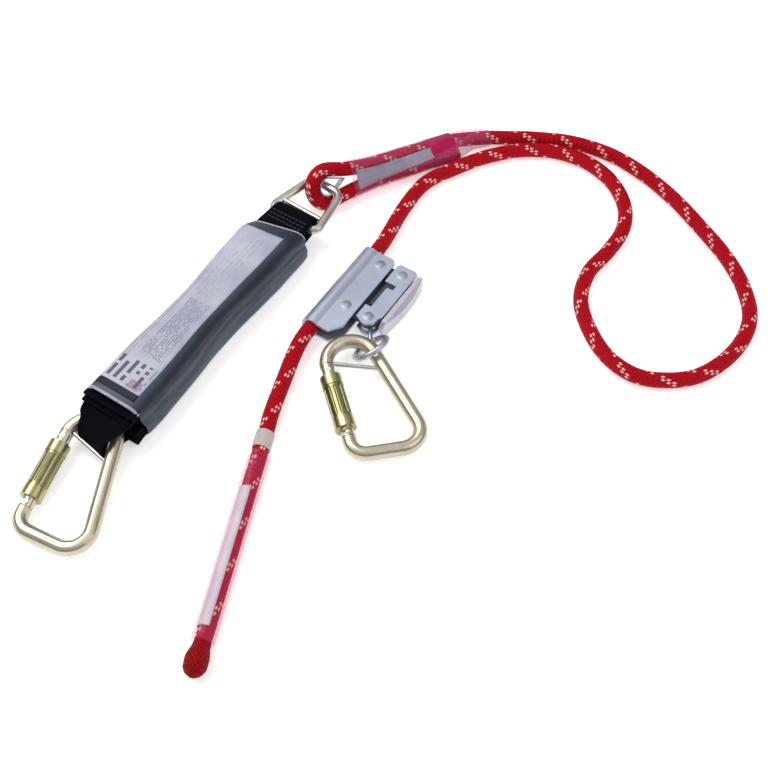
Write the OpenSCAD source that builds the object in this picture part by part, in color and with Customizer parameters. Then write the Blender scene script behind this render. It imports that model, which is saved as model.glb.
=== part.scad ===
// Shock absorbing lanyard: an energy absorber pack, an adjustable rope with a sliding
// rope grab, and two twist-lock carabiners, laid out flat on a floor.
// Origin: centre of the absorber pack's base. +Z is up, +X right, +Y away.

/* [Rope] */
// Rope diameter
rope_d = 11; // [10:0.5:12]
// Number of sides of the rope's tube
rope_sides = 10; // [8:1:12]
// Centre radius of the rope's bight round the thimble
bight_r = 12.8; // [12.5:0.1:14]
// Tilt of the bight from the floor, degrees
bight_tilt = 60; // [55:1:65]

/* [Absorber pack] */
// Length of the cover
pack_l = 193; // [185:1:200]
// Width of the cover at its base
pack_w = 46; // [45:1:50]
// Height of the cover
pack_h = 35; // [33:1:38]
// Direction of the pack's long axis, degrees from +X
pack_dir = 57; // [50:1:65]
// Thickness of one layer of webbing
webbing_t = 2.4; // [2:0.1:3]

/* [Carabiners] */
// Diameter of the carabiner's bar
bar_d = 10; // [9:0.5:10]
// Outer diameter of the locking sleeve
sleeve_d = 15; // [14:0.5:16]
// Centre radius of the narrow captive end
captive_r = 17.5; // [17:0.5:18]

/* [Rope grab] */
// Length of the housing along the rope
grab_l = 79; // [76:1:84]
// Thickness of the housing's sheet steel
grab_t = 2; // [1.6:0.2:2.4]
// Distance between the two rockers along the rope
rocker_pitch = 44; // [42:1:46]
// Distance between a rocker's two pivots
rocker_l = 18.7; // [18:0.1:20]

/* [Hidden] */
$fn = 48;

rope_r = rope_d / 2;

// ---------- placing ----------
// Height of the metal link and of the rope's bight
link_z = 18.2;
// Centre of the hole in the rope's eye
eye_hole = [84, 125.5, link_z];
// Direction of the eye at its bight, degrees
eye_dir = 37;
// Direction of the link, from the pack's end to the eye
link_dir = 54;
// Distance between the link's webbing bar and its narrow bar
link_l = 41;
link_wire_d = 6.6;
// Rope axis at the middle of the grab, and the grab's direction
grab_at = [96, 30, 9];
grab_dir = 57;
// Captive end of carabiner A: place in the pack's frame, direction of its narrow end, pitch
hook_a_at = [-101, 2.2, 13.6];
hook_a_dir = 69.6;
hook_a_pitch = 4.5;
// A point of the captive end's arc, by its angle round the arc's centre
captive_c = [20, captive_r];
function on_captive_arc(a) = captive_c + on_circle(captive_r, a);
hook_a_anchor = on_captive_arc(167);
// Captive end of carabiner B, at the ring of the attachment eye
hook_b_at = [118.7, -22.1, 11.4];
hook_b_dir = 105.9;
hook_b_pitch = 3.4;
hook_b_anchor = on_captive_arc(112);

module in_pack() { rotate([0, 0, pack_dir]) children(); }
module in_link() { translate(eye_hole) rotate([0, 0, link_dir]) children(); }
module in_grab() { translate(grab_at) rotate([0, 0, grab_dir]) children(); }
module in_hook_a()
  in_pack() translate(hook_a_at) rotate([0, 0, hook_a_dir + 180 - pack_dir])
    rotate([0, hook_a_pitch, 0]) translate([-hook_a_anchor.x, -hook_a_anchor.y, 0]) children();
module in_hook_b()
  translate(hook_b_at) rotate([0, 0, hook_b_dir + 180])
    rotate([0, hook_b_pitch, 0]) translate([-hook_b_anchor.x, -hook_b_anchor.y, 0]) children();

// ---------- general shapes ----------
function unit(v) = v / norm(v);
function tangent(path, i) =
  unit(path[min(i + 1, len(path) - 1)] - path[max(i - 1, 0)]);
// A ring of points round place p, in the plane across direction t, from a flat outline
function ring_at(p, t, outline, turn = 0) =
  let (side = unit(cross(t, [0, 0, 1])), up = cross(side, t))
  [for (q = outline)
    p + side * (q.x * cos(turn) - q.y * sin(turn)) + up * (q.x * sin(turn) + q.y * cos(turn))];
function on_circle(r, a) = r * [cos(a), sin(a)];
function round_outline(r, sides) = [for (i = [0:sides - 1]) on_circle(r, i * 360 / sides)];
// Outline of two round strands side by side, half_gap from the middle to each centre
function twin_outline(r, half_gap, steps = 7) = concat(
  [for (i = [0:steps]) [half_gap + r * cos(-90 + i * 180 / steps), r * sin(-90 + i * 180 / steps)]],
  [for (i = [0:steps]) [-half_gap + r * cos(90 + i * 180 / steps), r * sin(90 + i * 180 / steps)]]);

// A solid skinned over a list of rings that all have the same number of points
module skin(rings, closed = false) {
  n = len(rings[0]);
  last = len(rings) - (closed ? 1 : 2);
  points = [for (ring = rings) each ring];
  walls = [for (k = [0:last]) for (i = [0:n - 1])
    let (a = k * n, b = ((k + 1) % len(rings)) * n, j = (i + 1) % n)
    each [[a + i, b + j, b + i], [a + i, a + j, b + j]]];
  caps = closed ? [] : [[for (i = [0:n - 1]) n - 1 - i],
                        [for (i = [0:n - 1]) (len(rings) - 1) * n + i]];
  polyhedron(points = points, faces = concat(walls, caps), convexity = 8);
}
// A straight round rod from p to q
module rod(p, q, d) {
  v = q - p;
  translate(p) rotate([0, acos(v.z / norm(v)), atan2(v.y, v.x)]) cylinder(d = d, h = norm(v));
}
// Points along an arc in the XY plane: centre c, radius r, from angle a0 over sweep
function arc(c, r, a0, sweep, steps) =
  [for (i = [0:steps]) [c.x + r * cos(a0 + sweep * i / steps), c.y + r * sin(a0 + sweep * i / steps), 0]];
// A round bar along a path in the XY plane
module bar(path, d, closed = false) {
  n = len(path);
  skin([for (i = [0:n - 1])
    let (a = path[closed ? (i + n - 1) % n : max(i - 1, 0)],
      b = path[closed ? (i + 1) % n : min(i + 1, n - 1)])
    ring_at(path[i], unit(b - a), round_outline(d / 2, 20))], closed);
}

// ---------- the rope's route ----------
// Middle line between the eye's two strands: place, twist from the floor, half spacing
eye_spine = [
  [[101, 134.8, 16.3], 58, 8.6],
  [[117, 144, 14], 52, 6.4],
  [[131, 151.5, 12.6], 44, 5.9],
  [[146, 159.5, 11.2], 34, 5.9],
  [[163, 168.5, 9.6], 20, 5.9],
  [[180, 177.5, 8], 8, 5.9]];
// Route of the free rope from the sleeve's neck to its end
rope_route = [
  [194, 187, 7.4], [210, 189, 6.8], [226, 190, 5.6], [243, 189.5, 5.6], [274, 185, 5.6],
  [303, 172, 5.6], [326, 152, 5.6], [347, 125, 5.6], [363, 97, 5.6], [378, 67, 5.6],
  [386, 40, 5.6], [387, 12, 5.6], [378, -10, 5.6], [361, -29, 5.6], [341, -41, 5.6],
  [320, -44, 5.6], [300, -40, 5.6], [283, -25, 5.6], [272, -1, 5.6], [268, 26, 5.6],
  [276, 52, 5.6], [292, 72, 5.6], [305, 93, 5.6], [309, 116, 5.6], [302, 142, 5.6],
  [287, 161, 5.6], [266, 173, 5.6], [238, 176.5, 5.6], [207.5, 169.4, 5.6], [183.2, 157.4, 5.6],
  [159, 141.5, 5.6], [142, 115, 5.6], [131.5, 91, 6.6]];
// Straight stretch through the grab, from its upper to its lower end
grab_straight = [50, -46];
// Below the grab to the start of the straight tail, and the tail's end
tail_route = [[65, -23, 8.4], [59, -43, 7.2], [51, -73, 6.8]];
tail_top = [49, -84.4, 6.8];
tail_end = [17, -243, 6.8];

function side_of(dir, tilt) = [-sin(dir) * cos(tilt), cos(dir) * cos(tilt), sin(tilt)];
function strand(k, s) =
  let (t = tangent([for (e = eye_spine) e[0]], k), dir = atan2(t.y, t.x))
  eye_spine[k][0] + s * eye_spine[k][2] * side_of(dir, eye_spine[k][1]);
eye_steps = len(eye_spine);
bight = [for (a = [-70:-20:-290])
  eye_hole + bight_r * (cos(a) * [cos(eye_dir), sin(eye_dir), 0] + sin(a) * side_of(eye_dir, bight_tilt))];
function on_grab_axis(u) = grab_at + u * [cos(grab_dir), sin(grab_dir), 0];
rope_path = concat(
  [for (k = [eye_steps - 1:-1:0]) strand(k, -1)],
  bight,
  [for (k = [0:eye_steps - 1]) strand(k, 1)],
  rope_route,
  [for (u = grab_straight) on_grab_axis(u)],
  tail_route,
  [tail_top, tail_end]);

module rope()
  color("crimson")
    skin([for (i = [0:len(rope_path) - 1])
      ring_at(rope_path[i], tangent(rope_path, i), round_outline(rope_r, rope_sides))]);

// ---------- the spliced eye ----------
thimble_in = 6.1;
thimble_out = bight_r - rope_r - 0.1;
thimble_w = 5;
thimble_point = 13.6;
// A circle of radius r drawn out to a point
function teardrop(r, point) =
  let (touch = acos(r / point))
  concat([for (i = [0:32]) on_circle(r, touch + i * (360 - 2 * touch) / 32)], [[point, 0]]);
module thimble()
  color("silver")
    translate(eye_hole) rotate([0, 0, eye_dir]) rotate([bight_tilt, 0, 0])
      translate([0, 0, -thimble_w / 2]) linear_extrude(thimble_w) difference() {
        polygon(teardrop(thimble_out, thimble_point * thimble_out / thimble_in));
        polygon(teardrop(thimble_in, thimble_point));
      }

sleeve_gap = 0.8;
sleeve_wall = 0.8;
function spine_ring(k, r) =
  let (path = [for (e = eye_spine) e[0]])
  ring_at(path[k], tangent(path, k), twin_outline(r, eye_spine[k][2]), 180 - eye_spine[k][1]);
// The neck closes from the twin strands down to the standing one
neck = [[[193.5, 186, 7.6], 2.6], [[210, 189, 7.1], 0.3]];
function neck_ring(k, r) =
  ring_at(neck[k][0], unit([17, 4, 0]), twin_outline(r, neck[k][1]), 180);
module eye_sleeve() {
  outer_r = rope_r + sleeve_gap + sleeve_wall;
  inner_r = rope_r + sleeve_gap;
  color([0.95, 0.75, 0.8, 0.5])
    skin(concat(
      [for (k = [0:eye_steps - 1]) spine_ring(k, outer_r)],
      [for (k = [0:1]) neck_ring(k, outer_r - 0.3)],
      [for (k = [1:-1:0]) neck_ring(k, inner_r)],
      [for (k = [eye_steps - 1:-1:0]) spine_ring(k, inner_r)]), closed = true);
}

// Printed strip lying on the two strands inside the sleeve
module eye_label() {
  thick = 0.25;
  function strip(k, r) =
    let (path = [for (e = eye_spine) e[0]], w = eye_spine[k][2] - 0.6)
    ring_at(path[k], tangent(path, k),
      [[-w, r], [-w, r + thick], [w, r + thick], [w, r]], -eye_spine[k][1]);
  color("gainsboro")
    skin([for (k = [1:eye_steps - 2]) strip(k, rope_r + 0.1)]);
}
// Rows of stitching that join the tail strand to the standing one
module eye_stitching() {
  bars = 6;
  a = eye_spine[4][0];
  b = eye_spine[5][0];
  color("mediumvioletred")
    for (i = [1:bars])
      let (p = a + (b - a) * i / (bars + 1), t = unit(b - a), side = side_of(atan2(t.y, t.x), 14))
        rod(p - 2.2 * side, p + 2.2 * side, 1.4);
}

// ---------- the rope's tail ----------
tail_dir = atan2((tail_end - tail_top).y, (tail_end - tail_top).x);
module in_tail() { translate(tail_top) rotate([0, 0, tail_dir]) rotate([0, 90, 0]) children(); }
// Lengths along the tail, from its top
whipping_at = [4, 18];
sleeve_at = [20, 156];
label_at = [48, 147];
module tube(at, r_in, r_out)
  translate([0, 0, at[0]]) difference() {
    cylinder(r = r_out, h = at[1] - at[0]);
    translate([0, 0, -1]) cylinder(r = r_in, h = at[1] - at[0] + 2);
  }
module end_whipping()
  color("mistyrose")
    in_tail() for (i = [0:6])
      translate([0, 0, whipping_at[0] + 1 + i * 2]) rotate_extrude($fn = 32)
        translate([rope_r + 0.65, 0]) circle(d = 1.1, $fn = 16);
module end_sleeve()
  color([0.95, 0.9, 0.92, 0.5]) in_tail() tube(sleeve_at, rope_r + 0.45, rope_r + 1.2);
// A label rolled part of the way round the rope, under the sleeve
module end_label()
  color("white") in_tail() intersection() {
    tube(label_at, rope_r + 0.08, rope_r + 0.35);
    translate([-20, -8, label_at[0] - 1]) cube([18.5, 16, label_at[1] - label_at[0] + 2]);
  }
// The end of the rope folded back on itself, sewn and sealed into a round knob
module end_stop() {
  r = 7.3;
  long = 10;
  color("firebrick")
    translate([tail_end.x, tail_end.y, r]) rotate([0, 0, tail_dir]) rotate([0, 90, 0])
      translate([0, 0, 0.05]) rotate_extrude() intersection() {
        union() {
          translate([0, r - 3]) circle(r = r);
          translate([0, long - 3]) circle(r = r);
          translate([0, r - 3]) square([r, long - r]);
        }
        square([r, long + r]);
      }
}

// ---------- metal link ----------
link_w = [43, 27];
link_corner = [5, 10];
// The link's legs lean in from the webbing bar to the narrow bar
link_lean = atan2((link_w[0] - link_w[1]) / 2, link_l);
// Distance from a corner to where its bend starts
function setback(r, turn) = r * tan(turn / 2);
module link_ring() {
  base_turn = 90 + link_lean;
  tip_turn = 90 - link_lean;
  base_c = [-link_l + link_corner[0], link_w[0] / 2 - setback(link_corner[0], base_turn)];
  tip_c = [-link_corner[1], link_w[1] / 2 - setback(link_corner[1], tip_turn)];
  half = concat(
    arc(tip_c, link_corner[1], 0, tip_turn, 7),
    arc(base_c, link_corner[0], tip_turn, base_turn, 7));
  n = len(half);
  color("silver") in_link()
    bar(concat(half, [for (i = [n - 1:-1:0]) [half[i].x, -half[i].y, 0]]), link_wire_d, closed = true);
}
// A straight bar across the link that keeps the webbing loop on its own bar
keeper_at = -29.5;
keeper_d = 4;
module link_keeper_bar() {
  half = link_w[1] / 2 + (-keeper_at) * tan(link_lean) - link_wire_d / 2 + 0.3;
  color("gainsboro") in_link() rod([keeper_at, -half, 0], [keeper_at, half, 0], keeper_d);
}

// ---------- absorber pack ----------
// Half of the cover's cross-section, from the base to the middle of the top
function pack_half(w, h, in) = [
  [w / 2 - 3 - in * 0.4, in], [w / 2 - 0.6 - in, 3], [w / 2 - in, 8],
  [w / 2 - in, h - 13], [w / 2 - 1.2 - in, h - 7], [w / 2 - 3.6 - in, h - 2.4 - in * 0.5],
  [w / 2 - 6.5 - in * 0.6, h - in]];
module pack_solid(in, extra) {
  half = pack_half(pack_w, pack_h, in);
  outline = concat(half, [for (i = [len(half) - 1:-1:0]) [-half[i].x, half[i].y]]);
  intersection() {
    translate([-pack_l / 2 - extra, 0, 0]) rotate([90, 0, 90])
      linear_extrude(pack_l + 2 * extra) polygon(outline);
    // Plan of the cover, drawn in by the shrunk film half-way along
    translate([0, 0, -1]) linear_extrude(pack_h + 2) polygon(pack_plan(pack_w / 2 - in, extra));
    // Long profile of the cover, lower at its upper end
    rotate([90, 0, 0]) linear_extrude(2 * pack_w, center = true) polygon([
      [-pack_l / 2 - 2 * extra, 0], [pack_l / 2 + 2 * extra, 0],
      [pack_l / 2 + 2 * extra, pack_h - in - end_drop * (1 + 2 * extra / end_slope)],
      [pack_l / 2 - end_slope, pack_h - in], [-pack_l / 2 - 2 * extra, pack_h - in]]);
  }
}
waist = 3.4;
waist_reach = 38;
// How far the cover's upper end is cut back on its left, and drawn down over its last stretch
end_skew = 10;
end_drop = 7;
end_slope = 15;
function pack_side(w, x0, x1) = [
  for (x = [x0, -66, -50, -38, -28, -18, -9, 0, 9, 18, 28, 38, 50, 66, x1])
    [x, w - waist * exp(-pow(x / waist_reach, 2))]];
function pack_plan(w, extra) =
  let (x0 = -pack_l / 2 - extra, x1 = pack_l / 2 + extra,
    right = pack_side(w, x0, x1), left = pack_side(w, x0, x1 - end_skew))
  concat([for (p = right) [p.x, -p.y]], [for (i = [len(left) - 1:-1:0]) left[i]]);
cover_t = 1;
module absorber_cover()
  color("slategray") in_pack() difference() {
    pack_solid(0, 0);
    pack_solid(cover_t, 1);
  }
label_l = 174;
label_w = 31;
module absorber_label()
  color("lavender")
    in_pack() translate([-pack_l / 2 + 3, -label_w / 2, pack_h]) cube([label_l, label_w, 0.4]);

// Tear webbing folded to and fro in a stack
tear_folds = 10;
tear_w = 34;
tear_run = 150;
tear_pitch = 2.75;
module tear_webbing() {
  z0 = 3.2;
  color("dimgray") in_pack() rotate([90, 0, 0]) translate([0, 0, -tear_w / 2]) linear_extrude(tear_w) {
    for (i = [0:tear_folds - 1])
      translate([-tear_run / 2, z0 + i * tear_pitch - 1.1]) square([tear_run, 2.2]);
    for (i = [0:tear_folds - 2])
      translate([(i % 2 == 0 ? 1 : -1) * tear_run / 2, z0 + (i + 0.5) * tear_pitch])
        difference() {
          circle(r = tear_pitch / 2 + 1.1);
          circle(r = tear_pitch / 2 - 1.1);
          translate([(i % 2 == 0 ? -10 : 0), -5]) square([10, 10]);
        }
  }
}
// A webbing loop in the pack's XZ plane: a band round a slot, and two layers into the pack
module webbing_band(x0, x1, z0, z1, w, inner_x) {
  r = (z1 - z0) / 2;
  s = inner_x > x0 ? 1 : -1;
  rotate([90, 0, 0]) translate([0, 0, -w / 2]) linear_extrude(w) difference() {
    union() {
      translate([x0 + s * (r + webbing_t), (z0 + z1) / 2]) circle(r = r + webbing_t);
      translate([min(x0 + s * (r + webbing_t), inner_x), z0 - webbing_t])
        square([abs(inner_x - x0) - r - webbing_t, z1 - z0 + 2 * webbing_t]);
    }
    translate([x0 + s * (r + webbing_t), (z0 + z1) / 2]) circle(r = r);
    translate([min(x0 + s * (r + webbing_t), x1), z0]) square([abs(x1 - x0) - r - webbing_t, z1 - z0]);
  }
}
upper_loop_w = 31;
module upper_loop()
  color([0.1, 0.1, 0.12]) in_pack()
    webbing_band(117.8, 104.6, link_z - 4.1, link_z + 4.1, upper_loop_w, 82);
lower_loop_w = 17;
module lower_loop()
  color([0.1, 0.1, 0.12]) in_pack() union() {
    webbing_band(-118.2, -94.5, 6, 23, lower_loop_w, -84);
  }
module stitch_rows(x0, x1, w, z, rows) {
  n = 9;
  for (r = [0:rows - 1]) for (i = [0:n - 1])
    translate([x0 + (x1 - x0) * r / (rows - 1) - 0.5, -w / 2 + (i + 0.15) * w / n, z])
      cube([1, 0.7 * w / n, 0.6]);
}
module upper_stitching()
  color("darkslategray") in_pack() stitch_rows(99, 103, upper_loop_w - 6, link_z + 4.1 + webbing_t, 2);
module lower_stitching()
  color("darkslategray") in_pack() stitch_rows(-97.5, -100, lower_loop_w - 4, 23 + webbing_t, 2);

// ---------- carabiner, in its own frame: X from the captive end to the wide end ----------
gate_pivot = [23.5, 0];
gate_end = 76.8;
gate_d = 9.6;
nose_face = 77.3;
nose_pin_x = 73.6;
// Where the flat nose starts, and how far the spring's bore reaches
nose_root = 71.2;
bore_end = 55;
rivet_d = 3.2;
tongue_t = 3.8;
tongue_w = 8.6;
wide_corner = [90.5, 0];
spine_corner = [95.5, 51.8];
wide_r = 10.5;
spine_r = 14;
// Direction of the spine, and where it leaves the captive end's arc
spine_span = spine_corner - captive_c;
spine_touch = atan2(spine_span.y, spine_span.x) + acos(captive_r / norm(spine_span));
spine_dir = spine_touch - 90;
base_v = unit(spine_corner - wide_corner);
base_dir = atan2(base_v.y, base_v.x);
base_back = setback(wide_r, base_dir);
spine_back = setback(spine_r, spine_dir + 180 - base_dir);
wide_c = [wide_corner.x - base_back, wide_r];
spine_v = [cos(spine_dir), sin(spine_dir)];
spine_end = spine_corner - spine_back * spine_v;
spine_c = spine_end + spine_r * [spine_v.y, -spine_v.x];
carabiner_path = concat(
  arc(captive_c, captive_r, 270, spine_touch - 270, 16),
  arc(spine_c, spine_r, spine_touch, base_dir - 90 - spine_touch, 8),
  arc(wide_c, wide_r, base_dir - 90, -base_dir, 7),
  [[nose_face, 0, 0]]);
captive_pin = [[16, 0.3, 0], [31.5, 38.2, 0]];
captive_pin_d = 3;
module carabiner_body() {
  difference() {
    union() {
      difference() {
        bar(carabiner_path, bar_d);
        translate([gate_pivot.x, 0, -10]) cylinder(r = gate_d / 2 + 0.35, h = 20);
      }
      // Flat tongue that the gate turns on
      translate([gate_pivot.x, 0, -tongue_t / 2]) cylinder(d = tongue_w, h = tongue_t);
      translate([16.5, -tongue_w / 2, -tongue_t / 2]) cube([gate_pivot.x - 16.5, tongue_w, tongue_t]);
      // Flat nose that the gate closes over
      translate([nose_root, -4.2, -tongue_t / 2]) cube([nose_face - nose_root + 1, 6.8, tongue_t]);
    }
    translate([gate_pivot.x, 0, -10]) cylinder(d = rivet_d, h = 20);
    translate([nose_pin_x, 0, -10]) cylinder(d = 3, h = 20);
    rod(captive_pin[0], captive_pin[1], captive_pin_d);
  }
}
module carabiner_captive_pin() rod(captive_pin[0], captive_pin[1], captive_pin_d);
module carabiner_nose_pin() translate([nose_pin_x, 0, -4.2]) cylinder(d = 3, h = 8.4);
module carabiner_gate_rivet() translate([gate_pivot.x, 0, -4.7]) cylinder(d = rivet_d, h = 9.4);
module gate() {
  difference() {
    union() {
      rod([gate_pivot.x, 0, 0], [gate_end, 0, 0], gate_d);
      intersection() {
        rod([gate_pivot.x - 6, 0, 0], [gate_pivot.x + 0.5, 0, 0], gate_d);
        translate([gate_pivot.x, 0, -6]) cylinder(d = gate_d, h = 12);
      }
    }
    // Slot over the tongue, and the running bore for the rivet
    translate([gate_pivot.x - 7, -6, -tongue_t / 2 - 0.3]) cube([12.2, 12, tongue_t + 0.6]);
    translate([gate_pivot.x, 0, -10]) cylinder(d = rivet_d + 0.1, h = 20);
    // Slot over the nose, open to the outside, and the notch for the nose pin
    translate([nose_root - 0.6, -6, -tongue_t / 2 - 0.3]) cube([7, 9.2, tongue_t + 0.6]);
    translate([nose_root + 0.7, -6, -6]) cube([4.1, 7.8, 12]);
    // Bore for the spring and its plunger
    rod([gate_pivot.x + 4, 0, 0], [bore_end, 0, 0], 5.4);
  }
}
spring_at = [34, bore_end - 0.4];
module coil(r, wire, turns, length) {
  steps = 14;
  path = [for (i = [0:turns * steps])
    [r * cos(i * 360 / steps), r * sin(i * 360 / steps), length * i / (turns * steps)]];
  skin([for (i = [0:len(path) - 1])
    let (a = i * 360 / steps, out = [cos(a), sin(a), 0])
    [for (j = [0:5]) path[i] + wire / 2 * (cos(j * 60) * out + sin(j * 60) * [0, 0, 1])]]);
}
module gate_spring()
  translate([spring_at[0], 0, 0]) rotate([0, 90, 0]) translate([0, 0, 0.4])
    coil(2, 0.8, 8, spring_at[1] - spring_at[0] - 0.8);
module plunger() rod([gate_pivot.x + 4.9, 0, 0], [spring_at[0], 0, 0], 5);
sleeve_x = [28.3, 70.2];
module locking_sleeve() {
  flutes = 12;
  long = sleeve_x[1] - sleeve_x[0];
  translate([sleeve_x[0], 0, 0]) rotate([0, 90, 0]) difference() {
    union() {
      cylinder(d = sleeve_d, h = 8);
      cylinder(d = sleeve_d - 1, h = long);
      translate([0, 0, long - 8]) cylinder(d = sleeve_d, h = 8);
    }
    translate([0, 0, -1]) cylinder(d = gate_d + 0.14, h = long + 2);
    for (i = [0:flutes - 1]) rotate([0, 0, i * 360 / flutes])
      translate([sleeve_d / 2 + 0.2, 0, 10]) cylinder(d = 2.4, h = long - 20, $fn = 24);
  }
}
module carabiner_a_body() color("palegoldenrod") in_hook_a() carabiner_body();
module carabiner_a_captive_pin() color("silver") in_hook_a() carabiner_captive_pin();
module carabiner_a_nose_pin() color("silver") in_hook_a() carabiner_nose_pin();
module carabiner_a_gate_rivet() color("silver") in_hook_a() carabiner_gate_rivet();
module carabiner_a_gate() color("wheat") in_hook_a() gate();
module carabiner_a_gate_spring() color("gray") in_hook_a() gate_spring();
module carabiner_a_plunger() color("gray") in_hook_a() plunger();
module carabiner_a_sleeve() color("darkkhaki") in_hook_a() locking_sleeve();
module carabiner_b_body() color("palegoldenrod") in_hook_b() carabiner_body();
module carabiner_b_captive_pin() color("silver") in_hook_b() carabiner_captive_pin();
module carabiner_b_nose_pin() color("silver") in_hook_b() carabiner_nose_pin();
module carabiner_b_gate_rivet() color("silver") in_hook_b() carabiner_gate_rivet();
module carabiner_b_gate() color("wheat") in_hook_b() gate();
module carabiner_b_gate_spring() color("gray") in_hook_b() gate_spring();
module carabiner_b_plunger() color("gray") in_hook_b() plunger();
module carabiner_b_sleeve() color("darkkhaki") in_hook_b() locking_sleeve();

// ---------- rope grab, in its own frame: X up the rope, -Y towards the jaw ----------
channel_r = rope_r + 0.7;
shell_r = channel_r + grab_t;
// Inner and outer faces of the housing's flanges and of the jaw's plates
flange_in = 4.8;
flange_out = flange_in + grab_t;
grab_x = [-37, -37 + grab_l];
housing_y = -21;
rivet_y = -12.5;
jaw_y = rivet_y - rocker_l;
rocker_x = [-11, -11 + rocker_pitch];
pin_d = 5;
running = 0.1;
rocker_top = 4.4;
module sheet_outline(inner)
  union() {
    circle(r = inner ? channel_r : shell_r);
    translate([0, inner ? -flange_in : -flange_out])
      square([-housing_y + (inner ? 1 : 0), 2 * (inner ? flange_in : flange_out)]);
  }
module grab_housing()
  color("lightsteelblue") in_grab() difference() {
    intersection() {
      translate([grab_x[0], 0, 0]) rotate([90, 0, 90]) mirror([1, 0, 0]) linear_extrude(grab_l)
        difference() {
          sheet_outline(false);
          sheet_outline(true);
        }
      translate([0, 0, -20]) linear_extrude(40) polygon([
        [grab_x[0], 12], [grab_x[1], 12], [grab_x[1], housing_y + 3], [grab_x[1] - 3, housing_y],
        [grab_x[0] + 9, housing_y], [grab_x[0], housing_y + 7]]);
    }
    for (x = rocker_x) translate([x, rivet_y, -20]) cylinder(d = pin_d, h = 40);
  }
module pin_with_head(x, y) {
  translate([x, y, -flange_out]) cylinder(d = pin_d, h = 2 * flange_out + 0.1);
  translate([x, y, flange_out]) rotate_extrude() intersection() {
    translate([0, -15.5]) circle(r = 16, $fn = 128);
    square([3.9, 1]);
  }
}
module grab_rivets()
  color("gainsboro") in_grab() for (x = rocker_x) pin_with_head(x, rivet_y);
// A toothed cam lobe faces the rope and an arm reaches to the jaw's pivot
module rocker(x, z0, z1, jaw_bore) {
  lobe = [for (a = [-60:12:60]) (5.6 + (a + 60) / 100) * [-sin(a), cos(a)]];
  translate([x, rivet_y, z0]) difference() {
    linear_extrude(z1 - z0) union() {
      circle(r = 5.5);
      polygon(concat([[0, 0]], lobe));
      translate([-3.6, -rocker_l]) square([7.2, rocker_l]);
      translate([0, -rocker_l]) circle(r = 5.3);
    }
    translate([0, 0, -1]) cylinder(d = pin_d + running, h = z1 - z0 + 2);
    translate([0, -rocker_l, -1]) cylinder(d = jaw_bore, h = z1 - z0 + 2);
    for (a = [-48:12:48])
      translate([-sin(a) * 6.9, cos(a) * 6.9, -1]) cylinder(d = 1.2, h = z1 - z0 + 2, $fn = 24);
  }
}
module rocker_upper()
  color("dimgray") in_grab() rocker(rocker_x[1], -rocker_top, rocker_top, pin_d + 0.6);
module rocker_lower()
  color("dimgray") in_grab() rocker(rocker_x[0], -0.4, rocker_top, pin_d + running);
module rocker_spring()
  color("gray") in_grab() translate([rocker_x[0], rivet_y, -4.3]) coil(3.9, 0.9, 3, 3.4);
jaw_x = [-18, 41];
jaw_top = -23.5;
jaw_bottom = -40;
module jaw_plan()
  union() {
    translate([rocker_x[0], jaw_y]) circle(r = 7);
    polygon([[rocker_x[0] - 4, jaw_top], [jaw_x[1] - 2, jaw_top], [jaw_x[1], jaw_top - 2],
      [jaw_x[1], jaw_bottom + 2], [jaw_x[1] - 2, jaw_bottom], [rocker_x[0] + 4, jaw_bottom],
      [rocker_x[0] - 6.5, jaw_y - 2.2], [rocker_x[0] - 6.9, jaw_y + 0.6]]);
  }
module jaw_plates()
  color("lightsteelblue") in_grab() difference() {
    union() {
      translate([0, 0, flange_in]) linear_extrude(grab_t) difference() {
        jaw_plan();
        // Window over the rockers, with a hooked end
        translate([-3, -28]) square([25, 6]);
        translate([17.5, -33]) square([4.5, 7]);
      }
      translate([0, 0, -flange_out]) linear_extrude(grab_t) jaw_plan();
    }
    for (x = rocker_x) translate([x, jaw_y, -20]) cylinder(d = pin_d, h = 40);
  }
module jaw_block()
  color([0.25, 0.27, 0.28]) in_grab()
    translate([0, -39.5, -flange_in]) cube([26.5, 15, 2 * flange_in]);
module jaw_rivets()
  color("gainsboro") in_grab() for (x = rocker_x) pin_with_head(x, jaw_y);
handle_x = [-13, 41];
handle_y = -41.2;
// A bowed strip along the jaw, its ends and outer edges bevelled
module jaw_handle()
  color("silver") in_grab() union() {
    intersection() {
      translate([0, 0, -flange_out]) linear_extrude(2 * flange_out) intersection() {
        translate([handle_x[0], -50]) square([handle_x[1] - handle_x[0], handle_y + 50]);
        translate([13.5, 47]) circle(r = 95, $fn = 180);
      }
      rotate([90, 0, 0]) linear_extrude(60) polygon([
        [handle_x[0], 3.8], [handle_x[0] + 3, flange_out], [handle_x[1] - 3, flange_out],
        [handle_x[1], 3.8], [handle_x[1], -3.8], [handle_x[1] - 3, -flange_out],
        [handle_x[0] + 3, -flange_out], [handle_x[0], -3.8]]);
      translate([-50, 0, 0]) rotate([90, 0, 90]) linear_extrude(120) polygon([
        [-30, flange_out], [-44.5, flange_out], [-48.2, 4], [-48.2, -4], [-44.5, -flange_out],
        [-30, -flange_out]]);
    }
    translate([2, handle_y - 0.3, -4.6]) cube([22, handle_y + 43.2, 9.2]);
  }
eye_ring_r = 12.5;
eye_wire = 4.4;
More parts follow.
